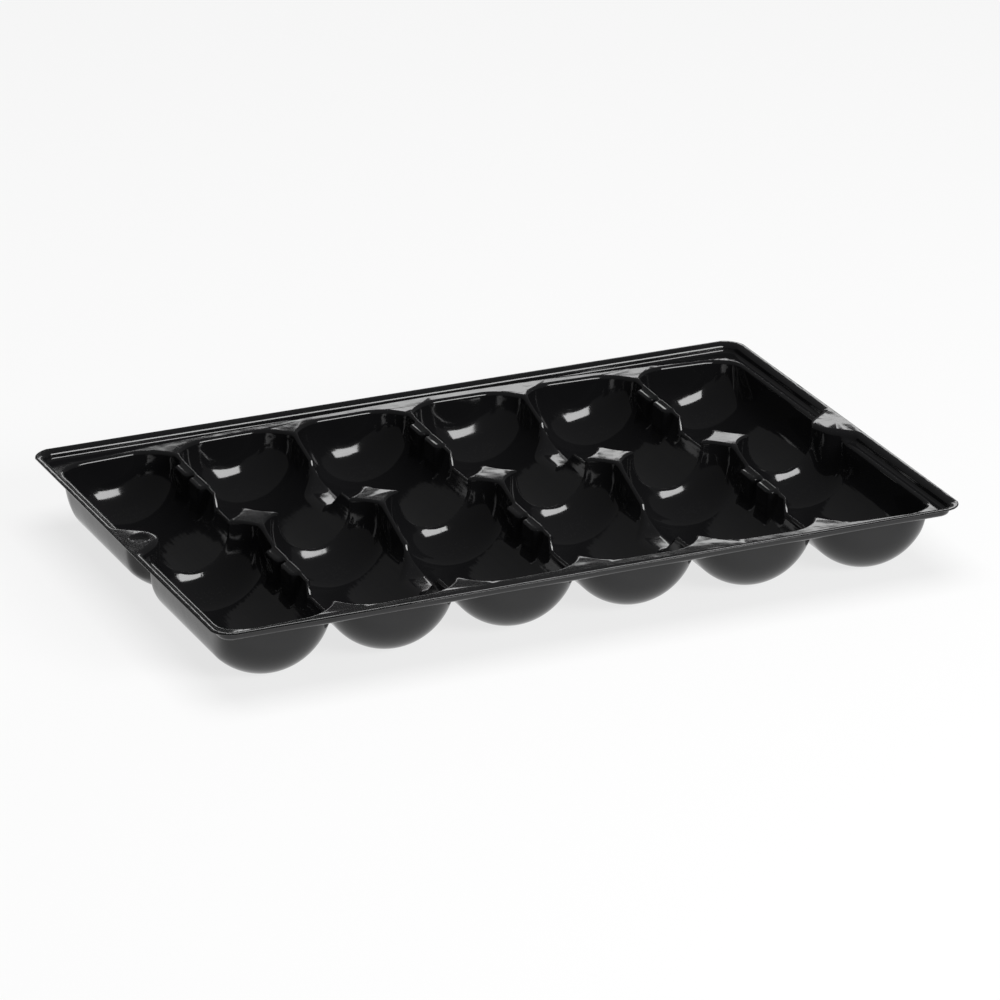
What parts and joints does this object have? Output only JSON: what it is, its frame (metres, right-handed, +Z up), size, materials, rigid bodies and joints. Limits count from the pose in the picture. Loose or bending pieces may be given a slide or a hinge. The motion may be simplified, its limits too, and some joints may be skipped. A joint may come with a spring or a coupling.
{
  "type": "thermoformed plastic tray",
  "caption": "Shallow crowned packing tray formed from one glossy black sheet, with two rows of deep round-bottomed pockets, dividers with low notches, a ledge and a narrow rim.",
  "frame": {"origin": "middle of the tray, on the surface that its end pockets stand on", "axes": "+X along the six pockets of a row, +Y across the two rows away from the front, +Z up out of the pockets"},
  "size_m": [0.4, 0.26, 0.041],
  "materials": {
    "black_sheet": "high gloss formed sheet"
  },
  "bodies": {
    "root": {"tray": "black_sheet"}
  },
  "joints": []
}
